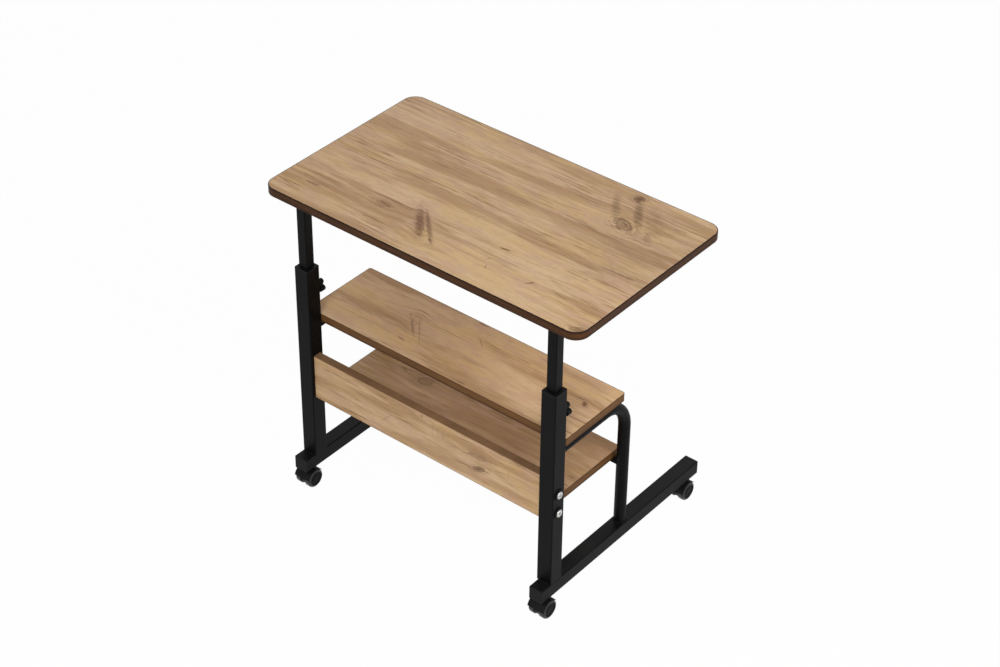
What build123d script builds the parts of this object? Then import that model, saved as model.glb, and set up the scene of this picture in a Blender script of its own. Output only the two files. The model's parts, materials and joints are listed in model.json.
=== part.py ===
from build123d import *
import math
import os

# Height-adjustable laptop table on four casters.
# Two square posts stand at the rear of two long feet and carry a cantilevered top on
# telescoping inner tubes. A bent round tube on each side holds the two shelves.
#
# Millimetres. +X runs along the tabletop, +Y from the post side (rear) to the open side
# where the user sits (front), +Z up. The origin is on the floor, midway between the feet
# and midway along them. Left is the -X side and right is the +X side.

# Boards and their edge bands
board = 18.0                  # thickness of every board
top_length = 775.0
top_depth = 450.0
top_corner = 30.0             # radius of the tabletop's corners, band included
top_band = 2.0                # thickness of the tabletop's edge band
top_arris = 1.2               # softening of the band's outer edges
shelf_band = 1.0              # thickness of the edge bands on shelves and panel
upper_shelf_depth = 185.0
lower_shelf_depth = 236.0
shelf_corner = 5.0            # radius of the shelves' front corners, band included
panel_height = 104.0
top_rear_overhang = 17.5      # tabletop edge beyond the posts' rear faces
shelf_gap = 0.5               # gap between a shelf and the posts it passes
band_joint = 0.1              # hairline gap where two edge bands meet

# Frame tubes
post_size = 35.0
post_wall = 1.5
post_corner = 2.5
post_length = 460.0
post_spacing = 621.0          # between the two posts' centre lines
post_inset = 42.0             # from a foot tube's rear end to the post's centre line
foot_size = 32.0
foot_wall = 1.5
foot_corner = 2.5
foot_length = 518.0
support_diameter = 25.0
support_wall = 1.5
support_bend = 70.0           # bend radius on the tube's centre line
support_reach = 210.0         # from the post's front face to the leg's centre line
inner_size = 22.0
inner_wall = 1.5
inner_corner = 2.2
inner_length = 282.0
arm_length = 363.0            # square arm under the tabletop, forward of the inner tube

# Heights
caster_height = 48.0          # floor to the underside of a foot
upper_shelf_rise = 326.0      # top of the foot to the underside of the upper shelf
lower_shelf_rise = 150.0      # top of the foot to the underside of the lower shelf
top_rise = 158.5              # top of a collar to the underside of the tabletop, as set

# Plastic collars, plugs and caps
collar_flange = 4.0
collar_sleeve = 25.0
collar_edge = 1.2
slide_clearance = 0.25        # collar to inner tube, each side
plug_flange = 6.0
plug_insert = 15.0
plug_clearance = 0.3          # plug to the bore of the post, each side
cap_flange = 2.0
cap_insert = 14.0
cap_edge = 0.8
insert_clearance = 0.1        # pushed-in plastic to the tube's bore, each side

# Fasteners
thread_clearance = 0.1        # between a screw and the hole it is driven into
hole_clearance = 0.25         # radial, between a screw and a hole it passes through
wood_screw_radius = 2.0
wood_screw_grip = 13.0        # length driven into a board
wood_head_radius = 4.0
wood_head_height = 2.4
recess_depth = 1.4
recess_across = 2.6
arm_screw_inset = 42.0        # first and last screw from the ends of the arm
shelf_screw_inset = 30.0      # screws from the shelf's rear edge and from the tube's bend
bolt_radius = 3.0
bolt_head_radius = 8.0
bolt_head_height = 3.0
bolt_key_across = 5.0         # across the flats of the hexagon socket
bolt_key_depth = 1.8
bolt_first = 25.0             # lower bolt above the panel's lower edge
bolt_pitch = 45.0             # between the two bolts of a post
washer_radius = 12.0
washer_thickness = 3.0
washer_recess = 1.8
washer_rim = 0.8
barrel_radius = 5.0
barrel_length = 13.0
barrel_inset = 34.0           # barrel nut's axis from the panel's end
bolt_past_nut = 6.0           # bolt end beyond the barrel nut's axis
dowel_radius = 4.0
dowel_in_panel = 12.0
dowel_chamfer = 1.0
dowel_in_shelf = 18.0
dowel_outer = 250.0           # outer dowels from the middle of the table
dowel_inner = 90.0            # inner dowels from the middle of the table
tab_thickness = 3.0
tab_width = 25.0
tab_reach = 34.0              # from the leg's inner side in under the lower shelf
tab_screw_inset = 13.0        # screw axis from the tab's inner edge

# Height lock: an M8 clamp screw with a five-lobed knob in the front face of each post
lock_drop = 56.0              # screw axis below the top end of the post tube
lock_thread_radius = 4.0
lock_nut_across = 13.0
lock_nut_thickness = 4.0
lock_tip_gap = 0.3            # screw tip to the inner tube
lock_tip_chamfer = 1.0
knob_gap = 0.6                # knob's neck to the post
knob_neck_radius = 8.5
knob_neck_length = 4.0
knob_head_length = 12.5
knob_core_radius = 11.5
knob_lobes = 5
knob_lobe_radius = 6.2
knob_lobe_circle = 12.0       # radius of the circle that the lobes' centres lie on
knob_valley = 1.2
knob_edge = 2.6
knob_first_lobe = 197.0       # degrees, from the knob's own x axis
knob_bore_depth = 11.0
knob_bore_clearance = 0.06

# Casters: twin wheels under a hood that swivels about a fixed stem
caster_inset = 26.0           # stem axis from the foot tube's end
caster_trail = 5.0            # axle to the rear of the stem axis, as the table was last rolled
caster_width = 40.0
wheel_radius = 21.0
wheel_gap = 13.0              # between the two wheels' inner faces
wheel_rim = 2.4               # rounding of the tread's outer corner
wheel_shoulder = 1.2          # rounding of the tread's inner corner
wheel_face_radius = 15.5      # outer radius of the dished ring on a wheel's face
wheel_hub_radius = 7.0
wheel_dish = 1.3
wheel_cavity = 6.0            # depth of the hollow on a wheel's inner side
wheel_cavity_radius = 17.0
axle_radius = 3.0
axle_cover = 1.8              # wheel face left over the axle's end
axle_end_gap = 0.3
wheel_clearance = 0.06        # wheel bore to axle, radial
web_thickness = 12.0
web_radius = 18.5
hood_gap = 0.6                # between the tread and the hood
hood_wall = 1.4
hood_start = 12.0             # degrees above level on the rear side
hood_end = 140.0
hub_radius = 6.0
hub_foot = 19.0               # lowest point of the swivel hub above the floor
swivel_pin_radius = 3.5
swivel_pin_length = 19.5
swivel_clearance = 0.08
swivel_floor_gap = 0.5        # pin's end to the bottom of its bore
swivel_top_gap = 0.4          # hub to the stem's flange
stem_flange_radius = 9.0
stem_flange_height = 2.5
stem_thread_radius = 4.0
stem_thread_length = 11.0     # above the underside of the foot
stem_nut_across = 13.0
stem_nut_height = 6.5

# Places worked out from the sizes above
foot_top = caster_height + foot_size
post_x = post_spacing / 2
post_y = post_inset - foot_length / 2
post_rear = post_y - post_size / 2
post_front = post_y + post_size / 2
post_inner_x = post_x - post_size / 2
post_outer_x = post_x + post_size / 2
post_top = foot_top + post_length
foot_x = post_outer_x - foot_size / 2
collar_top = post_top + collar_flange
top_under = collar_top + top_rise
top_rear = post_rear - top_rear_overhang
top_y = top_rear + top_depth / 2
leg_y = post_front + support_reach
support_radius = support_diameter / 2
upper_shelf_under = foot_top + upper_shelf_rise
support_z = upper_shelf_under - support_radius
lower_shelf_under = foot_top + lower_shelf_rise
panel_front = post_y + board / 2
panel_length = 2 * post_inner_x
upper_shelf_length = 2 * post_outer_x
upper_shelf_rear = post_front + shelf_gap
lower_shelf_length = panel_length - 2 * shelf_gap
inner_front = post_y + inner_size / 2
arm_under = top_under - inner_size
arm_end = inner_front + arm_length
lock_z = post_top - lock_drop
bolt_heights = [lower_shelf_under + bolt_first + bolt_pitch * step for step in range(2)]
bolt_end_x = post_inner_x - barrel_inset - bolt_past_nut
barrel_x = post_inner_x - barrel_inset
sides = {"left": -1, "right": 1}
ends = {"rear": -1, "front": 1}
bottom_up = (Align.CENTER, Align.CENTER, Align.MIN)
top_down = (Align.CENTER, Align.CENTER, Align.MAX)

os.makedirs("parts", exist_ok=True)


def save(piece, name):
    """Label a finished piece and write it under its own name."""
    piece.part.label = name
    export_step(piece.part, f"parts/{name}.step")


def tube_section(size, wall, corner):
    """Draw the section of a square tube with rounded corners in the open sketch."""
    RectangleRounded(size, size, corner)
    RectangleRounded(size - 2 * wall, size - 2 * wall, corner - wall, mode=Mode.SUBTRACT)


def cross_plane(x, y, z, side):
    """A plane that faces outwards, along X, on the given side of the table."""
    return Plane(origin=(side * x, y, z), x_dir=(0, side, 0), z_dir=(side, 0, 0))


# The top: a banded board, carried by an arm and an inner tube on each side

arm_screw_y = [
    inner_front + arm_screw_inset,
    inner_front + arm_length / 2,
    arm_end - arm_screw_inset,
]
arm_screw_places = [(side * post_x, y, arm_under) for side in sides.values() for y in arm_screw_y]
arm_screw_length = inner_size + wood_screw_grip

with BuildPart() as tabletop:
    with BuildSketch(Plane.XY.offset(top_under)):
        with Locations((0, top_y)):
            RectangleRounded(
                top_length - 2 * top_band,
                top_depth - 2 * top_band,
                top_corner - top_band,
            )
    extrude(amount=board)
    with Locations(*arm_screw_places):
        Cylinder(
            wood_screw_radius + thread_clearance,
            arm_screw_length + thread_clearance,
            align=bottom_up,
            mode=Mode.SUBTRACT,
        )
save(tabletop, "tabletop")

with BuildPart() as tabletop_edge_band:
    with BuildSketch(Plane.XY.offset(top_under)):
        with Locations((0, top_y)):
            RectangleRounded(top_length, top_depth, top_corner)
    extrude(amount=board)
    fillet(faces().filter_by(Axis.Z).edges(), top_arris)
    with BuildSketch(Plane.XY.offset(top_under)):
        with Locations((0, top_y)):
            RectangleRounded(
                top_length - 2 * top_band,
                top_depth - 2 * top_band,
                top_corner - top_band,
            )
    extrude(amount=board, mode=Mode.SUBTRACT)
save(tabletop_edge_band, "tabletop_edge_band")

for side_name, side in sides.items():
    with BuildPart() as inner_tube:
        with BuildSketch(Plane(origin=(side * post_x, post_y, top_under - inner_length))):
            tube_section(inner_size, inner_wall, inner_corner)
        extrude(amount=inner_length)
    save(inner_tube, f"{side_name}_inner_tube")

    with BuildPart() as plug:
        inner_end = top_under - inner_length
        plug_size = post_size - 2 * post_wall - 2 * plug_clearance
        insert_size = inner_size - 2 * inner_wall - 2 * insert_clearance
        with BuildSketch(Plane(origin=(side * post_x, post_y, inner_end - plug_flange))):
            Rectangle(plug_size, plug_size)
        extrude(amount=plug_flange)
        chamfer(edges().filter_by(Axis.Z), post_corner)
        with BuildSketch(Plane(origin=(side * post_x, post_y, inner_end))):
            RectangleRounded(insert_size, insert_size, inner_corner - inner_wall)
        extrude(amount=plug_insert)
    save(plug, f"{side_name}_inner_tube_plug")

    with BuildPart() as arm:
        arm_start = Plane(
            origin=(side * post_x, inner_front, arm_under + inner_size / 2),
            x_dir=(1, 0, 0),
            z_dir=(0, 1, 0),
        )
        with BuildSketch(arm_start):
            tube_section(inner_size, inner_wall, inner_corner)
        extrude(amount=arm_length)
        with Locations(*[(side * post_x, y, arm_under) for y in arm_screw_y]):
            Cylinder(
                wood_screw_radius + hole_clearance,
                inner_size,
                align=bottom_up,
                mode=Mode.SUBTRACT,
            )
    save(arm, f"{side_name}_top_arm")

with BuildPart() as top_arm_caps:
    insert_size = inner_size - 2 * inner_wall - 2 * insert_clearance
    for side in sides.values():
        arm_mouth = Plane(
            origin=(side * post_x, arm_end, arm_under + inner_size / 2),
            x_dir=(1, 0, 0),
            z_dir=(0, 1, 0),
        )
        with BuildSketch(arm_mouth):
            RectangleRounded(inner_size, inner_size, inner_corner)
        extrude(amount=cap_flange)
        with BuildSketch(arm_mouth):
            RectangleRounded(insert_size, insert_size, inner_corner - inner_wall)
        extrude(amount=-cap_insert)
    fillet(faces().group_by(Axis.Y)[-1].edges(), cap_edge)
save(top_arm_caps, "top_arm_caps")


def wood_screws(places, shank_length, name):
    """Pan head screws driven upwards, with their heads hanging below the given points."""
    with BuildPart() as screws:
        with Locations(*places):
            Cylinder(wood_screw_radius, shank_length, align=bottom_up)
            Cylinder(wood_head_radius, wood_head_height, align=top_down)
        fillet(
            edges().filter_by(GeomType.CIRCLE).group_by(Axis.Z)[0],
            wood_head_height / 2,
        )
        with Locations(*[(x, y, z - wood_head_height) for x, y, z in places]):
            Box(recess_across, recess_across, recess_depth, align=bottom_up, mode=Mode.SUBTRACT)
    save(screws, name)


wood_screws(arm_screw_places, arm_screw_length, "tabletop_screws")

# The frame: posts, feet and the bent tubes that carry the shelves

shelf_screw_y = [
    upper_shelf_rear + shelf_screw_inset,
    leg_y - support_bend - shelf_screw_inset,
]
shelf_screw_places = [
    (side * foot_x, y, upper_shelf_under - support_diameter)
    for side in sides.values()
    for y in shelf_screw_y
]
shelf_screw_length = support_diameter + wood_screw_grip
stem_places = [
    (side * foot_x, end * (foot_length / 2 - caster_inset))
    for end in ends.values()
    for side in sides.values()
]

for side_name, side in sides.items():
    with BuildPart() as post:
        with BuildSketch(Plane(origin=(side * post_x, post_y, foot_top))):
            tube_section(post_size, post_wall, post_corner)
        extrude(amount=post_length)
        with Locations(*[(side * post_x, post_y, z) for z in bolt_heights]):
            Cylinder(
                bolt_radius + hole_clearance,
                2 * post_size,
                rotation=(0, 90, 0),
                mode=Mode.SUBTRACT,
            )
        with Locations((side * post_x, post_front, lock_z)):
            Cylinder(
                lock_thread_radius + hole_clearance,
                post_size,
                rotation=(90, 0, 0),
                mode=Mode.SUBTRACT,
            )
    save(post, f"{side_name}_post")

    with BuildPart() as collar:
        sleeve_size = post_size - 2 * post_wall - 2 * insert_clearance
        passage = inner_size + 2 * slide_clearance
        with BuildSketch(Plane(origin=(side * post_x, post_y, post_top))):
            RectangleRounded(post_size, post_size, post_corner)
        extrude(amount=collar_flange)
        fillet(faces().sort_by(Axis.Z)[-1].edges(), collar_edge)
        with BuildSketch(Plane(origin=(side * post_x, post_y, post_top))):
            RectangleRounded(sleeve_size, sleeve_size, post_corner - post_wall)
        extrude(amount=-collar_sleeve)
        with BuildSketch(Plane(origin=(side * post_x, post_y, post_top - collar_sleeve))):
            RectangleRounded(passage, passage, inner_corner + slide_clearance)
        extrude(amount=collar_sleeve + collar_flange, mode=Mode.SUBTRACT)
    save(collar, f"{side_name}_post_collar")

    with BuildPart() as foot:
        foot_start = Plane(
            origin=(side * foot_x, -foot_length / 2, caster_height + foot_size / 2),
            x_dir=(1, 0, 0),
            z_dir=(0, 1, 0),
        )
        with BuildSketch(foot_start):
            tube_section(foot_size, foot_wall, foot_corner)
        extrude(amount=foot_length)
        with Locations(*[(x, y, caster_height) for x, y in stem_places if x * side > 0]):
            Cylinder(
                stem_thread_radius + hole_clearance,
                foot_size,
                mode=Mode.SUBTRACT,
            )
    save(foot, f"{side_name}_foot")

    with BuildPart() as support:
        with BuildLine() as route:
            FilletPolyline(
                (side * foot_x, post_front, support_z),
                (side * foot_x, leg_y, support_z),
                (side * foot_x, leg_y, foot_top),
                radius=support_bend,
            )
        support_start = Plane(
            origin=(side * foot_x, post_front, support_z),
            x_dir=(1, 0, 0),
            z_dir=(0, 1, 0),
        )
        with BuildSketch(support_start):
            Circle(support_radius)
            Circle(support_radius - support_wall, mode=Mode.SUBTRACT)
        sweep(path=route.wires()[0])
        with Locations(*[place for place in shelf_screw_places if place[0] * side > 0]):
            Cylinder(
                wood_screw_radius + hole_clearance,
                support_diameter,
                align=bottom_up,
                mode=Mode.SUBTRACT,
            )
    save(support, f"{side_name}_shelf_support")

    with BuildPart() as tab:
        leg_inner_x = foot_x - support_radius
        with BuildSketch(Plane.XY.offset(lower_shelf_under)):
            with Locations((side * (leg_inner_x - tab_reach), leg_y)):
                Rectangle(
                    tab_reach + support_radius,
                    tab_width,
                    align=(Align.MIN if side > 0 else Align.MAX, Align.CENTER),
                )
            with Locations((side * foot_x, leg_y)):
                Circle(support_radius, mode=Mode.SUBTRACT)
            with Locations((side * (leg_inner_x - tab_reach + tab_screw_inset), leg_y)):
                Circle(wood_screw_radius + hole_clearance, mode=Mode.SUBTRACT)
        extrude(amount=-tab_thickness)
    save(tab, f"{side_name}_shelf_tab")

with BuildPart() as foot_end_caps:
    insert_size = foot_size - 2 * foot_wall - 2 * insert_clearance
    for side in sides.values():
        for end in ends.values():
            foot_mouth = Plane(
                origin=(side * foot_x, end * foot_length / 2, caster_height + foot_size / 2),
                x_dir=(1, 0, 0),
                z_dir=(0, end, 0),
            )
            with BuildSketch(foot_mouth):
                RectangleRounded(foot_size, foot_size, foot_corner)
            extrude(amount=cap_flange)
            with BuildSketch(foot_mouth):
                RectangleRounded(insert_size, insert_size, foot_corner - foot_wall)
            extrude(amount=-cap_insert)
    fillet(faces().group_by(Axis.Y)[0].edges(), cap_edge)
    fillet(faces().group_by(Axis.Y)[-1].edges(), cap_edge)
save(foot_end_caps, "foot_end_caps")

# The shelves, the panel behind the lower one, and their edge bands

upper_shelf_front = upper_shelf_rear + upper_shelf_depth
lower_shelf_front = panel_front + lower_shelf_depth


def shelf_outline(length, rear, front, corner):
    """A shelf's outline, with its two front corners rounded."""
    with BuildSketch() as outline:
        with Locations((0, (rear + front) / 2)):
            Rectangle(length, front - rear)
        fillet(outline.vertices().group_by(Axis.Y)[-1], corner)
    return outline.sketch


def board_outline(length, rear, front):
    """The outline of a shelf's board, inside the band on its two ends and its front."""
    band_inner = shelf_corner - shelf_band
    return shelf_outline(length - 2 * shelf_band, rear, front - shelf_band, band_inner)


with BuildPart() as upper_shelf:
    with BuildSketch(Plane.XY.offset(upper_shelf_under)):
        add(board_outline(upper_shelf_length, upper_shelf_rear + shelf_band, upper_shelf_front))
    extrude(amount=board)
    with Locations(*shelf_screw_places):
        Cylinder(
            wood_screw_radius + thread_clearance,
            shelf_screw_length + thread_clearance,
            align=bottom_up,
            mode=Mode.SUBTRACT,
        )
save(upper_shelf, "upper_shelf")

with BuildPart() as upper_shelf_edge_bands:
    with Locations((0, upper_shelf_rear + shelf_band / 2, upper_shelf_under)):
        Box(upper_shelf_length, shelf_band, board, align=bottom_up)
    with BuildSketch(Plane.XY.offset(upper_shelf_under)):
        wrap_rear = upper_shelf_rear + shelf_band + band_joint
        add(shelf_outline(upper_shelf_length, wrap_rear, upper_shelf_front, shelf_corner))
        add(board_outline(upper_shelf_length, wrap_rear, upper_shelf_front), mode=Mode.SUBTRACT)
    extrude(amount=board)
save(upper_shelf_edge_bands, "upper_shelf_edge_bands")

wood_screws(shelf_screw_places, shelf_screw_length, "upper_shelf_screws")

dowel_x = [-dowel_outer, -dowel_inner, dowel_inner, dowel_outer]
dowel_places = [(x, panel_front, lower_shelf_under + board / 2) for x in dowel_x]
tab_screw_places = [
    (
        side * (foot_x - support_radius - tab_reach + tab_screw_inset),
        leg_y,
        lower_shelf_under - tab_thickness,
    )
    for side in sides.values()
]
tab_screw_length = tab_thickness + wood_screw_grip

with BuildPart() as lower_shelf:
    with BuildSketch(Plane.XY.offset(lower_shelf_under)):
        add(board_outline(lower_shelf_length, panel_front, lower_shelf_front))
    extrude(amount=board)
    with Locations(*dowel_places):
        Cylinder(
            dowel_radius + thread_clearance,
            2 * (dowel_in_shelf + thread_clearance),
            rotation=(90, 0, 0),
            mode=Mode.SUBTRACT,
        )
    with Locations(*tab_screw_places):
        Cylinder(
            wood_screw_radius + thread_clearance,
            tab_screw_length + thread_clearance,
            align=bottom_up,
            mode=Mode.SUBTRACT,
        )
save(lower_shelf, "lower_shelf")

with BuildPart() as lower_shelf_edge_bands:
    with BuildSketch(Plane.XY.offset(lower_shelf_under)):
        add(shelf_outline(lower_shelf_length, panel_front, lower_shelf_front, shelf_corner))
        add(board_outline(lower_shelf_length, panel_front, lower_shelf_front), mode=Mode.SUBTRACT)
    extrude(amount=board)
save(lower_shelf_edge_bands, "lower_shelf_edge_bands")

wood_screws(tab_screw_places, tab_screw_length, "lower_shelf_screws")

with BuildPart() as back_panel:
    with Locations((0, post_y, lower_shelf_under + shelf_band)):
        Box(panel_length, board, panel_height - 2 * shelf_band, align=bottom_up)
    with Locations(*dowel_places):
        Cylinder(
            dowel_radius + thread_clearance,
            2 * (dowel_in_panel + thread_clearance),
            rotation=(90, 0, 0),
            mode=Mode.SUBTRACT,
        )
    for side in sides.values():
        for z in bolt_heights:
            with Locations((side * post_inner_x, post_y, z)):
                Cylinder(
                    bolt_radius + hole_clearance,
                    2 * (barrel_inset + bolt_past_nut + hole_clearance),
                    rotation=(0, 90, 0),
                    mode=Mode.SUBTRACT,
                )
            with Locations((side * barrel_x, panel_front, z)):
                Cylinder(
                    barrel_radius + thread_clearance,
                    2 * (barrel_length + thread_clearance),
                    rotation=(90, 0, 0),
                    mode=Mode.SUBTRACT,
                )
save(back_panel, "back_panel")

with BuildPart() as back_panel_edge_bands:
    with Locations(
        (0, post_y, lower_shelf_under),
        (0, post_y, lower_shelf_under + panel_height - shelf_band),
    ):
        Box(panel_length, board, shelf_band, align=bottom_up)
save(back_panel_edge_bands, "back_panel_edge_bands")

with BuildPart() as shelf_dowels:
    with Locations(*[(x, y + (dowel_in_shelf - dowel_in_panel) / 2, z) for x, y, z in dowel_places]):
        Cylinder(dowel_radius, dowel_in_panel + dowel_in_shelf, rotation=(90, 0, 0))
    chamfer(edges().filter_by(GeomType.CIRCLE), dowel_chamfer)
save(shelf_dowels, "shelf_dowels")

# Through bolts that clamp the panel between the posts

with BuildPart() as panel_bolts:
    for side in sides.values():
        for z in bolt_heights:
            seat_x = post_outer_x + washer_thickness - washer_recess
            with BuildSketch(cross_plane(seat_x, post_y, z, side)):
                Circle(bolt_head_radius)
            extrude(amount=bolt_head_height)
            with BuildSketch(cross_plane(seat_x, post_y, z, side)):
                Circle(bolt_radius)
            extrude(amount=bolt_end_x - seat_x)
    fillet(
        edges().filter_by(GeomType.CIRCLE).group_by(Axis.X)[0],
        bolt_head_height / 2,
    )
    fillet(
        edges().filter_by(GeomType.CIRCLE).group_by(Axis.X)[-1],
        bolt_head_height / 2,
    )
    for side in sides.values():
        for z in bolt_heights:
            crown_x = post_outer_x + washer_thickness - washer_recess + bolt_head_height
            with BuildSketch(cross_plane(crown_x, post_y, z, side)):
                RegularPolygon(bolt_key_across / 2, 6, major_radius=False)
            extrude(amount=-bolt_key_depth, mode=Mode.SUBTRACT)
save(panel_bolts, "panel_bolts")

with BuildPart() as panel_bolt_washers:
    for side in sides.values():
        for z in bolt_heights:
            with BuildSketch(cross_plane(post_outer_x, post_y, z, side)):
                Circle(washer_radius)
            extrude(amount=washer_thickness)
    fillet(edges().group_by(Axis.X)[0], washer_rim)
    fillet(edges().group_by(Axis.X)[-1], washer_rim)
    for side in sides.values():
        for z in bolt_heights:
            with BuildSketch(cross_plane(post_outer_x, post_y, z, side)):
                Circle(bolt_radius + hole_clearance)
            extrude(amount=washer_thickness, mode=Mode.SUBTRACT)
            with BuildSketch(cross_plane(post_outer_x + washer_thickness, post_y, z, side)):
                Circle(bolt_head_radius + hole_clearance)
            extrude(amount=-washer_recess, mode=Mode.SUBTRACT)
save(panel_bolt_washers, "panel_bolt_washers")

with BuildPart() as panel_barrel_nuts:
    for side in sides.values():
        for z in bolt_heights:
            with Locations((side * barrel_x, panel_front, z)):
                Cylinder(
                    barrel_radius,
                    barrel_length,
                    rotation=(90, 0, 0),
                    align=(Align.CENTER, Align.CENTER, Align.MIN),
                )
            with Locations((side * barrel_x, post_y, z)):
                Cylinder(
                    bolt_radius + thread_clearance,
                    2 * barrel_radius,
                    rotation=(0, 90, 0),
                    mode=Mode.SUBTRACT,
                )
save(panel_barrel_nuts, "panel_barrel_nuts")

# The height locks

lock_wall_inner = post_front - post_wall
lock_tip_y = inner_front + lock_tip_gap
knob_start = post_front + knob_gap
knob_end = knob_start + knob_neck_length + knob_head_length


def lock_plane(side, y):
    """A plane square to the clamp screw's axis, facing forwards, with local y up."""
    return Plane(origin=(side * post_x, y, lock_z), x_dir=(-1, 0, 0), z_dir=(0, 1, 0))


for side_name, side in sides.items():
    with BuildPart() as lock_nut:
        with BuildSketch(lock_plane(side, lock_wall_inner)):
            Rectangle(lock_nut_across, lock_nut_across)
            Circle(lock_thread_radius + thread_clearance, mode=Mode.SUBTRACT)
        extrude(amount=-lock_nut_thickness)
    save(lock_nut, f"{side_name}_lock_nut")

    with BuildPart() as lock_screw:
        with BuildSketch(lock_plane(side, lock_tip_y)):
            Circle(lock_thread_radius)
        extrude(amount=knob_start + knob_bore_depth - lock_tip_y)
        chamfer(edges().group_by(Axis.Y)[0], lock_tip_chamfer)
    save(lock_screw, f"{side_name}_lock_screw")

    with BuildPart() as lock_knob:
        with BuildSketch(lock_plane(side, knob_start)):
            Circle(knob_neck_radius)
        extrude(amount=knob_neck_length)
        with BuildSketch(lock_plane(side, knob_start + knob_neck_length)) as star:
            Circle(knob_core_radius)
            with PolarLocations(knob_lobe_circle, knob_lobes, start_angle=knob_first_lobe):
                Circle(knob_lobe_radius)
            fillet(star.vertices(), knob_valley)
        extrude(amount=knob_head_length)
        fillet(faces().sort_by(Axis.Y)[-1].edges(), knob_edge)
        with BuildSketch(lock_plane(side, knob_start)):
            Circle(lock_thread_radius + knob_bore_clearance)
        extrude(amount=knob_bore_depth + knob_bore_clearance, mode=Mode.SUBTRACT)
    save(lock_knob, f"{side_name}_lock_knob")

# The casters

with BuildPart() as caster_stems:
    flange_under = caster_height - stem_flange_height
    for x, y in stem_places:
        with Locations((x, y, flange_under)):
            Cylinder(stem_flange_radius, stem_flange_height, align=bottom_up)
            Cylinder(
                stem_thread_radius,
                stem_flange_height + stem_thread_length,
                align=bottom_up,
            )
            Cylinder(swivel_pin_radius, swivel_pin_length, align=top_down)
save(caster_stems, "caster_stems")

with BuildPart() as caster_nuts:
    for x, y in stem_places:
        with BuildSketch(Plane(origin=(x, y, caster_height + foot_wall))):
            RegularPolygon(stem_nut_across / 2, 6, major_radius=False)
            Circle(stem_thread_radius + thread_clearance, mode=Mode.SUBTRACT)
        extrude(amount=stem_nut_height)
save(caster_nuts, "caster_nuts")

hood_inner = wheel_radius + hood_gap
hood_outer = hood_inner + hood_wall
hub_top = caster_height - stem_flange_height - swivel_top_gap
pin_end = caster_height - stem_flange_height - swivel_pin_length
wheel_inner_x = wheel_gap / 2
wheel_outer_x = caster_width / 2
axle_half = wheel_outer_x - axle_cover - axle_end_gap

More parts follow.
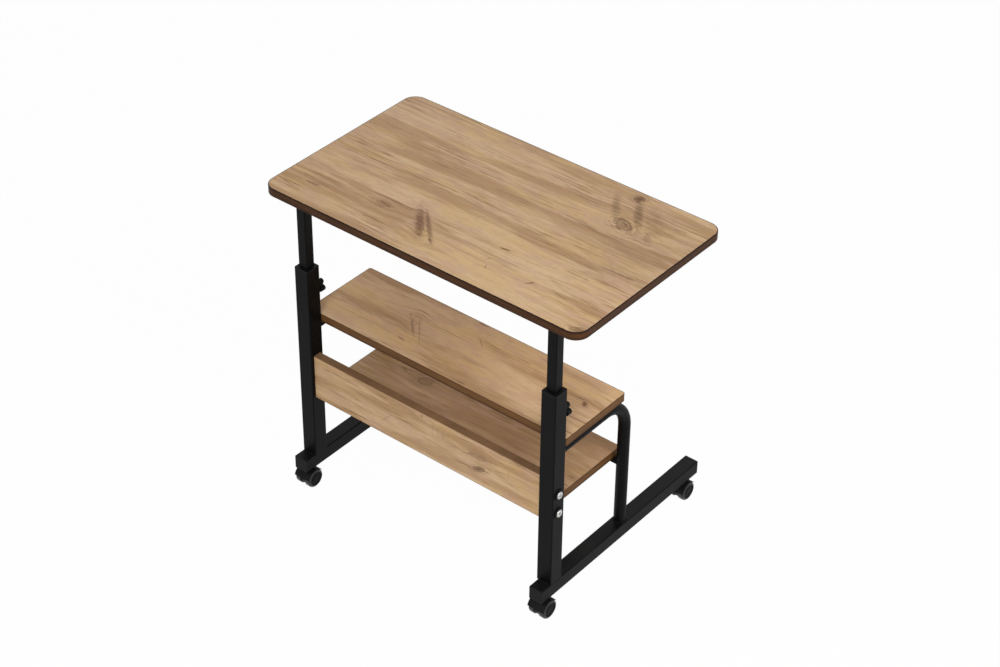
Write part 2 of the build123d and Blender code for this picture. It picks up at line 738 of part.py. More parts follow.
for end_name, end in ends.items():
    for side_name, side in sides.items():
        corner = f"{end_name}_{side_name}"
        stem_y = end * (foot_length / 2 - caster_inset)
        axle_y = stem_y - caster_trail
        middle = Plane(
            origin=(side * foot_x, axle_y, wheel_radius),
            x_dir=(0, -1, 0),
            z_dir=(-1, 0, 0),
        )

        with BuildPart() as hood:
            with BuildSketch(middle):
                Circle(web_radius)
                with BuildLine():
                    CenterArc((0, 0), hood_outer, hood_start, hood_end - hood_start)
                    Line(
                        (0, 0),
                        (
                            hood_outer * math.cos(math.radians(hood_start)),
                            hood_outer * math.sin(math.radians(hood_start)),
                        ),
                    )
                    Line(
                        (0, 0),
                        (
                            hood_outer * math.cos(math.radians(hood_end)),
                            hood_outer * math.sin(math.radians(hood_end)),
                        ),
                    )
                make_face()
            extrude(amount=web_thickness / 2, both=True)
            with BuildSketch(middle):
                with BuildLine():
                    outer_arc = CenterArc((0, 0), hood_outer, hood_start, hood_end - hood_start)
                    inner_arc = CenterArc((0, 0), hood_inner, hood_start, hood_end - hood_start)
                    Line(outer_arc @ 0, inner_arc @ 0)
                    Line(outer_arc @ 1, inner_arc @ 1)
                make_face()
            extrude(amount=caster_width / 2, both=True)
            with Locations((side * foot_x, stem_y, hub_foot)):
                Cylinder(hub_radius, hub_top - hub_foot, align=bottom_up)
            with Locations((side * foot_x, stem_y, pin_end - swivel_floor_gap)):
                Cylinder(
                    swivel_pin_radius + swivel_clearance,
                    caster_height,
                    align=bottom_up,
                    mode=Mode.SUBTRACT,
                )
            with Locations((side * foot_x, axle_y, wheel_radius)):
                Cylinder(axle_radius, caster_width, rotation=(0, 90, 0), mode=Mode.SUBTRACT)
        save(hood, f"{corner}_caster_hood")

        with BuildPart() as axle:
            with Locations((side * foot_x, axle_y, wheel_radius)):
                Cylinder(axle_radius, 2 * axle_half, rotation=(0, 90, 0))
        save(axle, f"{corner}_caster_axle")

        for wheel_name, wheel_side in {"outer": side, "inner": -side}.items():
            section = Plane(
                origin=(side * foot_x, axle_y, wheel_radius),
                x_dir=(wheel_side, 0, 0),
                z_dir=(0, -wheel_side, 0),
            )
            bore_radius = axle_radius + wheel_clearance
            bore_end = wheel_outer_x - axle_cover
            cavity_end = wheel_inner_x + wheel_cavity
            with BuildPart() as wheel:
                with BuildSketch(section) as profile:
                    with BuildLine():
                        Polyline(
                            (wheel_inner_x, bore_radius),
                            (wheel_inner_x, wheel_hub_radius),
                            (cavity_end, wheel_hub_radius),
                            (cavity_end, wheel_cavity_radius),
                            (wheel_inner_x, wheel_cavity_radius),
                            (wheel_inner_x, wheel_radius - wheel_shoulder),
                            (wheel_inner_x + wheel_shoulder, wheel_radius),
                            (wheel_outer_x - wheel_rim, wheel_radius),
                        )
                        RadiusArc(
                            (wheel_outer_x - wheel_rim, wheel_radius),
                            (wheel_outer_x, wheel_radius - wheel_rim),
                            wheel_rim,
                        )
                        Polyline(
                            (wheel_outer_x, wheel_radius - wheel_rim),
                            (wheel_outer_x, wheel_face_radius),
                            (wheel_outer_x - wheel_dish, wheel_face_radius - wheel_dish),
                            (wheel_outer_x - wheel_dish, wheel_hub_radius + wheel_dish),
                            (wheel_outer_x, wheel_hub_radius),
                            (wheel_outer_x, 0),
                            (bore_end, 0),
                            (bore_end, bore_radius),
                            (wheel_inner_x, bore_radius),
                        )
                    make_face()
                revolve(axis=Axis((side * foot_x, axle_y, wheel_radius), (1, 0, 0)))
            save(wheel, f"{corner}_{wheel_name}_wheel")

print("overall", top_length, "x", foot_length, "mm; tabletop at", top_under + board)
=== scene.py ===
# %% [markdown]
# # Dressing a rolling laptop table
# The solids of this table were drawn in CAD and packed, each piece under its own name. This lesson
# leaves those solids where they are. It gives every one a finish made of shader nodes, and adds the
# small surfaces that the solids leave plain: weld beads and turned caster wheels.

import json
import math

import bmesh
import bpy
import numpy as np
from mathutils import Matrix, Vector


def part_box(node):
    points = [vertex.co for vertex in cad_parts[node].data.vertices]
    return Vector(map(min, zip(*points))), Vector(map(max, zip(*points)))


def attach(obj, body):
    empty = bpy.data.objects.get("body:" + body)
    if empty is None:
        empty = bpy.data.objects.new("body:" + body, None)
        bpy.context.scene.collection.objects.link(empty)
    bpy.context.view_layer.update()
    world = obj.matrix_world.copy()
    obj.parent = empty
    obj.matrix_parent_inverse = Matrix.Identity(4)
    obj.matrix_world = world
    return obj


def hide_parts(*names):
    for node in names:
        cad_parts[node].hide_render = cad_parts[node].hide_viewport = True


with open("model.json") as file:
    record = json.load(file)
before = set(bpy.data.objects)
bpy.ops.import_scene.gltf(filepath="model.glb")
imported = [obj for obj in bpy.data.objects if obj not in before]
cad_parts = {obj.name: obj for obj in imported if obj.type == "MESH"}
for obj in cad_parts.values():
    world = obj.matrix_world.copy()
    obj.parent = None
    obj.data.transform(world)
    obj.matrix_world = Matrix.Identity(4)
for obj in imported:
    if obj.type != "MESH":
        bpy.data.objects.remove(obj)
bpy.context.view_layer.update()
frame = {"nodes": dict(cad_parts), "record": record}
nodes = frame["nodes"]
subparts = frame["record"]["subparts"]

# %% [markdown]
# ## A few words for shader nodes
# A finish is a formula that varies over the surface. It could be clicked together in the shader
# editor, but written as code each step has a name and can be reused for the next finish. All
# patterns read Object coordinates. The pieces are in metres and never scaled, so a pattern that
# repeats 100 times per unit is 10 mm wide on the real table.

# %% Colours as they look on a screen
def linear(red, green, blue):
    """Screen levels of 0 to 255 as linear light: share plus 0.055, over 1.055, to the power 2.4."""
    return tuple(((level / 255 + 0.055) / 1.055) ** 2.4 for level in (red, green, blue)) + (1.0,)


print("mid grey", [round(channel, 3) for channel in linear(128, 128, 128)])

# %% Nodes as function calls
def add_node(tree, kind, inputs, output=0, **options):
    """Add one shader node: set its options, fill or link its inputs, and return one output."""
    node = tree.nodes.new("ShaderNode" + kind)
    for option, value in options.items():
        setattr(node, option, value)
    for key, value in inputs.items():
        if isinstance(value, bpy.types.NodeSocket):
            tree.links.new(value, node.inputs[key])
        else:
            node.inputs[key].default_value = value
    return node.outputs[output]


def calc(tree, operation, *values):
    """One arithmetic step between sockets or numbers."""
    return add_node(tree, "Math", dict(enumerate(values)), operation=operation)


def ease(tree, value, low, high, start=0.0, end=1.0):
    """Start at low and end at high, joined by the smooth curve 3t squared minus 2t cubed."""
    reach = {"Value": value, "From Min": low, "From Max": high, "To Min": start, "To Max": end}
    return add_node(tree, "MapRange", reach, interpolation_type="SMOOTHSTEP")


def blend_colour(tree, share, first, second):
    """The first colour where the share is 0, the second where it is 1."""
    return add_node(tree, "Mix", {0: share, 6: first, 7: second}, output=2, data_type="RGBA")


def ramp(tree, value, stops):
    """Colours at set places from 0 to 1, joined in straight lines."""
    node = tree.nodes.new("ShaderNodeValToRGB")
    elements = node.color_ramp.elements
    elements[0].position, elements[0].color = stops[0]
    elements[1].position, elements[1].color = stops[-1]
    for position, colour in stops[1:-1]:
        elements.new(position).color = colour
    tree.links.new(value, node.inputs["Fac"])
    return node.outputs["Color"]


def drawn_noise(tree, place, per_metre, detail=3.0, roughness=0.5, shift=(0.0, 0.0, 0.0)):
    """Noise with its own count per metre along each axis, then shifted: a low count draws it out."""
    drawn = add_node(tree, "Mapping", {"Vector": place, "Location": shift, "Scale": per_metre})
    inputs = {"Vector": drawn, "Scale": 1.0, "Detail": detail, "Roughness": roughness}
    return add_node(tree, "TexNoise", inputs)


def new_finish(name, gloss):
    """An empty finish: its material, node tree, shader and Object coordinates."""
    material = bpy.data.materials.new(name)
    material.use_nodes = True
    tree = material.node_tree
    shader = tree.nodes["Principled BSDF"]
    shader.inputs["Specular IOR Level"].default_value = gloss
    place = add_node(tree, "TexCoord", {}, output="Object")
    return material, tree, shader, place


def connect(tree, shader, colour, roughness, height, depth):
    """Wire colour and roughness to the shader, and a height in units of depth, in metres, as bump."""
    tree.links.new(colour, shader.inputs["Base Color"])
    tree.links.new(roughness, shader.inputs["Roughness"])
    bump = add_node(tree, "Bump", {"Height": height, "Distance": depth, "Strength": 1.0})
    tree.links.new(bump, shader.inputs["Normal"])


print("helpers ready")

# %% [markdown]
# ## Oak laminate
# The boards are chipboard under a printed oak paper. Real growth rings are nested sheets, so a
# board shows them as lines along the grain that swell round each knot. One way is a photograph on
# the surface, which blurs close up and shows a maker's print. Here the rings are a formula instead.
# The position across the board is pushed apart round each knot, as water flows round a stone.
# Clouds, streaks, rings and pores are then drawn along that bent grain. Only a soft mottle and the
# ragged edges of knots and marks keep to the straight board.

# %% Knots of each board
# Each entry: along the grain, across it, turn in degrees, half length, half width, darkness, and how
# much of that darkness its middle keeps. A low last number leaves an open eye inside a dark rim.
top_knots = [
    (0.2050, 0.1755, 20, 0.0095, 0.0075, 0.85, 1.00),
    (0.2350, 0.0840, -25, 0.0200, 0.0120, 0.80, 0.70),
    (0.2960, 0.0760, -50, 0.0120, 0.0050, 0.40, 0.80),
    (-0.1600, -0.1520, 10, 0.0150, 0.0080, 0.40, 0.80),
    (-0.0550, -0.1700, -50, 0.0200, 0.0070, 0.45, 0.90),
    (0.3750, -0.2380, 15, 0.0140, 0.0090, 0.60, 0.90),
]
upper_knots = [
    (-0.1330, -0.0920, -60, 0.0150, 0.0080, 0.30, 0.50),
    (0.2895, -0.0930, -50, 0.0052, 0.0036, 0.85, 1.00),
]
lower_knots = [(-0.1400, -0.0600, 20, 0.0140, 0.0100, 0.55, 0.60)]
panel_knots = [
    (0.1395, 0.2690, 20, 0.0130, 0.0050, 0.75, 1.00),
    (0.1345, 0.2990, 0, 0.0190, 0.0080, 0.38, 0.80),
]
print("knots", len(top_knots + upper_knots + lower_knots + panel_knots))

# %% Cracks, branch scars and streaks
# Each entry: along the grain, across it, turn in degrees, half length, half width, darkness.
# The long ones turned by 45 to 55 degrees are scars of branches that the saw cut lengthwise. The
# last entry of the top is a broad area that is a little darker.
top_marks = [
    (0.2410, 0.1240, -55, 0.0640, 0.0110, 0.37),
    (0.1850, 0.1280, -53, 0.0440, 0.0095, 0.26),
    (0.2400, 0.0850, -28, 0.0190, 0.0016, 0.55),
    (0.2850, 0.1150, -50, 0.0600, 0.0280, 0.23),
    (-0.0690, -0.1520, -51, 0.0560, 0.0105, 0.40),
    (-0.0450, -0.1550, -45, 0.0620, 0.0060, 0.42),
    (-0.0120, -0.1900, -40, 0.0120, 0.0030, 0.60),
    (-0.1570, -0.1320, 0, 0.0660, 0.0011, 0.55),
    (0.3000, -0.0525, 1, 0.0900, 0.0015, 0.50),
    (0.3520, -0.0495, 1, 0.0380, 0.0013, 0.50),
    (0.2450, 0.0340, 0, 0.0450, 0.0015, 0.35),
    (0.3660, 0.0230, 0, 0.0190, 0.0020, 0.45),
    (0.2720, -0.1040, 0, 0.0420, 0.0013, 0.50),
    (0.3600, -0.1270, 2, 0.0180, 0.0012, 0.40),
    (0.1150, -0.1225, 5, 0.0130, 0.0025, 0.60),
    (0.2175, -0.1795, 50, 0.0110, 0.0022, 0.60),
    (0.1110, -0.1645, 60, 0.0060, 0.0016, 0.50),
    (0.1220, -0.1890, -65, 0.0080, 0.0013, 0.35),
    (-0.3120, -0.1850, 5, 0.0220, 0.0045, 0.35),
    (-0.3000, -0.1650, 3, 0.0520, 0.0140, 0.16),
    (-0.3500, -0.2150, -10, 0.0400, 0.0013, 0.45),
    (-0.3350, -0.2230, -8, 0.0300, 0.0012, 0.38),
    (-0.3450, -0.0075, 0, 0.0500, 0.0009, 0.40),
    (0.3300, 0.0300, 0, 0.1100, 0.1300, 0.13),
]
upper_marks = [
    (-0.1300, -0.1100, -45, 0.0450, 0.0030, 0.32),
    (-0.1080, -0.1140, -50, 0.0500, 0.0015, 0.28),
    (-0.0230, -0.0190, 0, 0.0160, 0.0030, 0.55),
    (0.0120, -0.0670, -40, 0.0200, 0.0020, 0.32),
    (-0.1180, -0.1580, -5, 0.0120, 0.0020, 0.65),
    (0.0620, -0.1920, 0, 0.0140, 0.0018, 0.50),
    (0.2800, -0.0850, -15, 0.0200, 0.0010, 0.35),
    (-0.1580, -0.1950, 5, 0.0180, 0.0015, 0.45),
    (-0.2100, -0.1550, 0, 0.1100, 0.0012, 0.25),
]
lower_marks = [(0.2770, -0.1100, 0, 0.0090, 0.0020, 0.60), (0.1900, -0.0700, 3, 0.0700, 0.0014, 0.35)]
panel_marks = [
    (-0.0070, 0.3255, 0, 0.0040, 0.0025, 0.60),
    (0.1120, 0.2945, 22, 0.0200, 0.0020, 0.35),
    (0.1700, 0.3015, 0, 0.0200, 0.0020, 0.30),
    (0.0870, 0.2600, 6, 0.0360, 0.0014, 0.40),
    (0.1620, 0.2710, 0, 0.0130, 0.0018, 0.35),
    (-0.0980, 0.2760, 45, 0.0230, 0.0015, 0.25),
    (-0.2030, 0.2665, 0, 0.0800, 0.0014, 0.30),
    (-0.1830, 0.2415, 0, 0.0450, 0.0020, 0.32),
    (0.2120, 0.2940, 90, 0.0120, 0.0010, 0.22),
]
# Four faint marks stand side by side across the grain of the panel.
panel_marks += [(along, 0.3030, 88, 0.0190, 0.0022, 0.09) for along in (0.0210, 0.0340, 0.0480, 0.0610)]
print("marks", len(top_marks + upper_marks + lower_marks + panel_marks))

# %% How far a point is from a knot
def knot_distance(tree, flat, knot):
    """Distance from a knot's centre in turned, stretched axes: 1 on the rim of its ellipse."""
    along, across, turn, half_length, half_width = knot[:5]
    ellipse = {
        "Vector": flat,
        "Location": (along, across, 0.0),
        "Rotation": (0.0, 0.0, math.radians(turn)),
        "Scale": (half_length, half_width, 1.0),
    }
    local = add_node(tree, "Mapping", ellipse, vector_type="TEXTURE")
    return add_node(tree, "VectorMath", {0: local}, output="Value", operation="LENGTH")


def hill(tree, distance, centre, spread):
    """A hill 1 high at the centre: e to the minus square of the distance from it over the spread."""
    near = calc(tree, "DIVIDE", calc(tree, "SUBTRACT", distance, centre), spread)
    return calc(tree, "EXPONENT", calc(tree, "MULTIPLY", calc(tree, "MULTIPLY", near, near), -1.0))


# All in radii of the knot, apart from the share of the rings and their angle in radians per radius.
rim_spread = 0.22
core_gone, core_full = 1.05, 0.55
rings_gone, rings_full = 3.0, 1.1
rings_share, rings_angle = 0.5, 11.0


def knot_darkness(tree, reach, darkness, middle):
    """The greatest of a dark rim at 1, a filled middle inside it, and rings that fade out."""
    rim = calc(tree, "MULTIPLY", hill(tree, reach, 1.0, rim_spread), darkness)
    core = ease(tree, reach, core_gone, core_full, 0.0, darkness * middle)
    wave = calc(tree, "SINE", calc(tree, "MULTIPLY", reach, rings_angle))
    wave = calc(tree, "MULTIPLY_ADD", wave, 0.5, 0.5)
    fading = ease(tree, reach, rings_gone, rings_full, 0.0, darkness * rings_share)
    rings = calc(tree, "MULTIPLY", wave, fading)
    return calc(tree, "MAXIMUM", calc(tree, "MAXIMUM", rim, core), rings)


print("rings round a knot fade out at", rings_gone, "of its radii")

# %% Shades and patterns of the print
oak_pale = linear(221, 188, 148)
oak_mid = linear(202, 165, 124)
oak_deep = linear(175, 136, 95)
oak_dark = linear(124, 88, 55)
oak_honey = linear(217, 179, 121)
oak_blush = linear(206, 166, 138)
knot_brown = linear(96, 58, 26)

# Sway bends the grain, and ragged frays the edges of knots and marks. Warmth, mottle and belts are
# soft patches of another shade, and dashes and flecks are short dark lines. Each entry: counts per
# metre along and across the board, detail, roughness, and an offset that keeps one pattern from
# being a stretched copy of another.
board_patterns = {
    "sway": (4.5, 15.0, 4.0, 0.55, 11.0),
    "mottle": (16.0, 40.0, 4.0, 0.60, 5.0),
    "ragged": (70.0, 150.0, 3.0, 0.60, 0.0),
}
grain_patterns = {
    "cloud": (3.0, 14.0, 2.0, 0.50, 0.0),
    "streaks": (7.0, 100.0, 4.0, 0.60, 0.0),
    "fibre": (24.0, 560.0, 2.0, 0.50, 0.0),
    "pores": (60.0, 1500.0, 1.0, 0.50, 0.0),
    "ring_wander": (1.9, 9.0, 2.0, 0.50, 0.0),
    "ring_strength": (1.7, 7.0, 1.0, 0.50, 3.0),
    "warmth": (4.0, 18.0, 3.0, 0.55, 7.0),
    "belts": (2.6, 26.0, 4.0, 0.60, 13.0),
    "dashes": (8.0, 270.0, 3.0, 0.60, 1.0),
    "flecks": (36.0, 520.0, 2.0, 0.50, 9.0),
}
print("patterns", len(board_patterns) + len(grain_patterns))

# %% Bend the grain
grain_sway = 0.016
knot_push, knot_push_spread = 0.6, 2.4


def pattern_noise(tree, place, pattern, shift):
    """Noise for one entry above, moved by its own offset and by the shift of the board."""
    along, across, detail, roughness, offset = pattern
    moved = (shift[0] + offset, shift[1], shift[2])
    return drawn_noise(tree, place, (along, across, across), detail, roughness, moved)


def bent_across(tree, across, sway, knots, distances):
    """The position across the board, swayed by noise, and changing more slowly near each knot."""
    flow = calc(tree, "MULTIPLY_ADD", calc(tree, "SUBTRACT", sway, 0.5), grain_sway, across)
    for distance, knot in zip(distances, knots):
        knot_across = knot[1]
        aside = calc(tree, "SUBTRACT", across, knot_across)
        pushed = calc(tree, "MULTIPLY", aside, hill(tree, distance, 0.0, knot_push_spread))
        flow = calc(tree, "MULTIPLY_ADD", pushed, -knot_push, flow)
    return flow


print("the grain sways by up to", grain_sway / 2, "m")

# %% Rings and the ground under the knots
rings_per_metre, ring_wander, ring_waver, ring_power = 85.0, 15.0, 0.9, 3.0
ring_range, faintest_ring, strongest_ring = (0.44, 0.68), 0.06, 0.36
middle_tone = 0.62
tone_gains = {"cloud": 1.4, "streaks": 1.9, "fibre": 1.2}
tone_stops = [(0.0, oak_dark), (0.28, oak_deep), (0.55, oak_mid), (0.95, oak_pale)]
# Each patch: its pattern, the values where it sets in and is full, its greatest share, its colour.
patches = [
    ("warmth", 0.44, 0.62, 0.5, oak_honey),
    ("mottle", 0.46, 0.62, 0.6, oak_blush),
    ("belts", 0.49, 0.64, 0.7, oak_deep),
]
# Where each dark pattern sets in and is full. The cloud thins out the dashes: none are left above
# the first value of its range, and all below the second.
dash_range, fleck_range, cloud_range = (0.56, 0.68), (0.62, 0.74), (0.60, 0.42)
dash_share, fleck_share = 0.7, 0.35


def growth_rings(tree, flow, noise):
    """A power of the fraction of a height that climbs across the grain: each ring ends sharply."""
    wander = calc(tree, "MULTIPLY", noise["ring_wander"], ring_wander)
    height = calc(tree, "MULTIPLY_ADD", flow, rings_per_metre, wander)
    height = calc(tree, "MULTIPLY_ADD", noise["streaks"], ring_waver, height)
    ring = calc(tree, "POWER", calc(tree, "FRACT", height), ring_power)
    strength = ease(tree, noise["ring_strength"], *ring_range, faintest_ring, strongest_ring)
    return calc(tree, "MULTIPLY", ring, strength)


def ground_colour(tree, ring, noise, painted_light_lift):
    """Clouds, streaks and fibre minus rings, as colour, then patches, dashes and flecks over it."""
    # The lift paints light and shade into the tone: each board's copy of the print is paler or darker.
    tone = middle_tone + painted_light_lift
    for pattern, gain in tone_gains.items():
        tone = calc(tree, "MULTIPLY_ADD", calc(tree, "SUBTRACT", noise[pattern], 0.5), gain, tone)
    colour = ramp(tree, calc(tree, "SUBTRACT", tone, ring), tone_stops)
    for pattern, low, high, share, shade in patches:
        colour = blend_colour(tree, ease(tree, noise[pattern], low, high, 0.0, share), colour, shade)
    dash = ease(tree, noise["dashes"], *dash_range, 0.0, dash_share)
    dash = calc(tree, "MULTIPLY", dash, ease(tree, noise["cloud"], *cloud_range))
    fleck = ease(tree, noise["flecks"], *fleck_range, 0.0, fleck_share)
    return blend_colour(tree, calc(tree, "MAXIMUM", dash, fleck), colour, oak_dark)


print("tone from", sorted(tone_gains), "patches", len(patches))

# %% Knots and marks over the ground
edge_raggedness = 1.5
mark_strength, mark_gone, mark_full = 1.75, 1.3, 0.2
streak_range, faintest_streak = (0.62, 0.42), 0.6


def lay_brown(tree, colour, flat, noise, knots, distances, marks):
    """Brown over the ground: each knot in turn, then the darkest mark times a share from streaks."""
    ragged = calc(tree, "MULTIPLY", calc(tree, "SUBTRACT", noise["ragged"], 0.5), edge_raggedness)
    for distance, knot in zip(distances, knots):
        darkness, middle = knot[5:]
        reach = calc(tree, "ADD", distance, ragged)
        colour = blend_colour(tree, knot_darkness(tree, reach, darkness, middle), colour, knot_brown)
    shade = 0.0
    for mark in marks:
        reach = calc(tree, "ADD", knot_distance(tree, flat, mark), ragged)
        darkness = min(1.0, mark_strength * mark[-1])
        shade = calc(tree, "MAXIMUM", shade, ease(tree, reach, mark_gone, mark_full, 0.0, darkness))
    broken = ease(tree, noise["streaks"], *streak_range, faintest_streak, 1.0)
    return blend_colour(tree, calc(tree, "MULTIPLY", shade, broken), colour, knot_brown)


print("marks fade out at", mark_gone, "of their own ellipse")

# %% The oak finish
pore_range, pore_share, pore_depth = (0.62, 0.74), 0.30, 0.00005
fibre_height, smoothest, roughness_swing = 0.4, 0.42, 0.14


def oak_laminate(name, across_axis, through_axis, shift, painted_light_lift, knots, marks):
    """Ground, knots and marks along the bent grain, and pores that are darker and deeper."""
    material, tree, shader, place = new_finish(name, gloss=0.18)
    axes = add_node(tree, "SeparateXYZ", {0: place}).node
    along, across, through = (axes.outputs[axis] for axis in ("X", across_axis, through_axis))
    flat = add_node(tree, "CombineXYZ", {0: along, 1: across, 2: 0.0})
    distances = [knot_distance(tree, flat, knot) for knot in knots]

    noise = {}
    for pattern, values in board_patterns.items():
        noise[pattern] = pattern_noise(tree, place, values, shift)
    flow = bent_across(tree, across, noise["sway"], knots, distances)
    grain = add_node(tree, "CombineXYZ", {0: along, 1: flow, 2: through})
    for pattern, values in grain_patterns.items():
        noise[pattern] = pattern_noise(tree, grain, values, shift)

    colour = ground_colour(tree, growth_rings(tree, flow, noise), noise, painted_light_lift)
    colour = lay_brown(tree, colour, flat, noise, knots, distances, marks)
    pores = ease(tree, noise["pores"], *pore_range)
    colour = blend_colour(tree, calc(tree, "MULTIPLY", pores, pore_share), colour, oak_dark)
    fibres = calc(tree, "MULTIPLY", noise["fibre"], fibre_height)
    relief = calc(tree, "SUBTRACT", fibres, pores)
    roughness = calc(tree, "MULTIPLY_ADD", noise["streaks"], roughness_swing, smoothest)
    connect(tree, shader, colour, roughness, relief, pore_depth)
    return material


# Each board: the axes across and through it, the shift of its patterns, and how much paler it is
# painted.
# The lift is painted light and shade: the same print is made paler or darker per board, the upper shelf
# paler against the top's shadow and the lower shelf darker.
top_oak = oak_laminate("oak_top", "Y", "Z", (0.0, 0.0, 0.0), 0.18, top_knots, top_marks)
upper_oak = oak_laminate("oak_upper_shelf", "Y", "Z", (5.3, 1.7, 0.0), 0.38, upper_knots, upper_marks)
lower_oak = oak_laminate("oak_lower_shelf", "Y", "Z", (9.1, 4.2, 0.0), -0.12, lower_knots, lower_marks)
panel_oak = oak_laminate("oak_panel", "Z", "Y", (2.4, 7.7, 0.0), 0.09, panel_knots, panel_marks)
print("nodes in the top's finish", len(top_oak.node_tree.nodes))

# %% [markdown]
# ## Edge bands
# The bands are printed plastic strips glued round the boards. The print runs lengthwise, so the
# streaks are thin layers stacked in height, whichever way the strip turns. At the upper arris the
# strip is trimmed and scraped, which leaves a dark line, and the strip is drawn darker towards the
# lower one. Both are drawn from the height alone. The strips on the panel lie flat, so they get
# neither.

# %% Printed edge bands
# Below the upper arris the dark line is full to the first depth and gone at the second. The shade
# at the foot is gone at the third, above the lower arris.
line_full, line_gone, foot_gone = 0.0009, 0.0027, 0.0072
layer_gain, fleck_gain, tone_start = 1.3, 0.5, -0.42


def edge_band(node, pale, dark, line, line_share, foot_share):
    """A sum of layers and flecks as tone, a dark line at the node's top, a shade towards its foot."""
    material, tree, shader, place = new_finish("band_" + node, gloss=0.08)
    layers = drawn_noise(tree, place, (9.0, 9.0, 260.0), detail=4.0, roughness=0.6)
    flecks = drawn_noise(tree, place, (60.0, 60.0, 900.0), detail=2.0)
    tone = calc(tree, "MULTIPLY_ADD", layers, layer_gain, tone_start)
    tone = calc(tree, "MULTIPLY_ADD", flecks, fleck_gain, tone)
    colour = blend_colour(tree, ease(tree, tone, 0.1, 0.9), dark, pale)
    low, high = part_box(node)
    rise = add_node(tree, "SeparateXYZ", {0: place}, output="Z")
    arris = ease(tree, rise, high.z - line_gone, high.z - line_full, 0.0, line_share)
    foot = ease(tree, rise, low.z + foot_gone, low.z, 0.0, foot_share)
    colour = blend_colour(tree, calc(tree, "MAXIMUM", arris, foot), colour, line)
    roughness = calc(tree, "MULTIPLY_ADD", layers, 0.2, 0.38)
    connect(tree, shader, colour, roughness, flecks, depth=0.00004)
    return material


# Each band: its pale shade, its dark shade and the shade of its line, then the shares of line and foot.
top_shades = (linear(90, 58, 34), linear(56, 34, 20), linear(28, 14, 8))
shelf_shades = (linear(128, 90, 54), linear(96, 65, 37), linear(46, 28, 15))
panel_shades = (linear(143, 111, 81), linear(120, 91, 65), linear(84, 60, 40))
top_band = edge_band("tabletop_edge_band", *top_shades, 0.9, 0.55)
panel_band = edge_band("back_panel_edge_bands", *panel_shades, 0.0, 0.0)
shelf_bands = {}
for node in nodes:
    if "shelf_edge_band" in node:
        shelf_bands[node] = edge_band(node, *shelf_shades, 0.35, 0.6)
print("bands", sorted(shelf_bands))

# %% [markdown]
# ## Powder coat, plastic, zinc and beech
# The tubes are powder coated: the powder melts into a satin skin with a faint orange peel about a
# millimetre across. Plastic mouldings are finer grained and a little duller. Screws are zinc
# plated, a metal that varies in cloudiness. All four need little colour and a good surface, so
# most of the work is in roughness and bump. Constant values stay on the shader's own sockets.

# %% Satin powder coat
coat_shades = (linear(7, 7, 8), linear(13, 13, 13))
dust_and_sheen_shade = linear(34, 33, 32)
peel_per_metre, peel_depth = 900.0, 0.00004
scuff_range, least_dust_and_sheen, most_dust_and_sheen = (0.66, 0.80), 0.05, 0.4
coat_roughness, cloud_swing, scuff_swing = 0.40, 0.16, 0.10


def powder_coat(name):
    """Near-black skin: peel noise about 1 mm across as bump, dust and painted sheen where a face looks
    up.
    """
    material, tree, shader, place = new_finish(name, gloss=0.07)
    peel = drawn_noise(tree, place, (peel_per_metre,) * 3, detail=1.0)
    cloud = drawn_noise(tree, place, (12.0, 12.0, 12.0))
    scratches = drawn_noise(tree, place, (30.0, 30.0, 420.0), roughness=0.7)
    scuff = ease(tree, scratches, *scuff_range)
    normal = add_node(tree, "NewGeometry", {}, output="Normal")
    looks_up = add_node(tree, "SeparateXYZ", {0: normal}, output="Z")
    # Faces that look up are lightened: partly dust, partly a painted sheen that stands for the white
    # surroundings reflected on top faces.
    dust_and_sheen_amount = ease(tree, cloud, 0.35, 0.7, least_dust_and_sheen, most_dust_and_sheen)
    dust_and_sheen = calc(tree, "MULTIPLY", ease(tree, looks_up, 0.5, 1.0), dust_and_sheen_amount)
    colour = blend_colour(tree, ease(tree, cloud, 0.3, 0.7), *coat_shades)
    colour = blend_colour(tree, dust_and_sheen, colour, dust_and_sheen_shade)
    roughness = calc(tree, "MULTIPLY_ADD", cloud, cloud_swing, coat_roughness)
    roughness = calc(tree, "MULTIPLY_ADD", scuff, scuff_swing, roughness)
    connect(tree, shader, colour, roughness, peel, peel_depth)
    return material


steel_black = powder_coat("powder_coat")
print("powder coat", len(steel_black.node_tree.nodes), "nodes")

# %% Moulded plastic
def moulded_plastic(name, dark, pale, gloss, roughness_low, grain_per_metre):
    """Spark-eroded mould grain: cells of noise as bump, slow clouds in colour and roughness."""
    material, tree, shader, place = new_finish(name, gloss)
    grain = drawn_noise(tree, place, (grain_per_metre,) * 3, detail=2.0)
    cloud = drawn_noise(tree, place, (40.0, 40.0, 40.0))
    colour = blend_colour(tree, ease(tree, cloud, 0.3, 0.7), dark, pale)
    roughness = calc(tree, "MULTIPLY_ADD", cloud, 0.18, roughness_low)
    connect(tree, shader, colour, roughness, grain, depth=0.00003)
    return material


moulding_shades = (linear(10, 10, 11), linear(17, 17, 18))
wheel_shades = (linear(7, 7, 8), linear(12, 12, 12))
cover_shades = (linear(4, 4, 5), linear(8, 8, 8))
# Each plastic: its two shades, its gloss, its lowest roughness and the fineness of its grain.
plastic_black = moulded_plastic("plastic_mouldings", *moulding_shades, 0.11, 0.44, 1600.0)
wheel_black = moulded_plastic("plastic_wheels", *wheel_shades, 0.42, 0.18, 700.0)
cover_black = moulded_plastic("plastic_wheel_covers", *cover_shades, 0.07, 0.42, 1600.0)
print("plastics", plastic_black.name, wheel_black.name, cover_black.name)

# %% Zinc plate and beech
zinc_shades = (linear(178, 178, 176), linear(216, 216, 213))
beech_shades = (linear(206, 172, 130), linear(166, 128, 88))


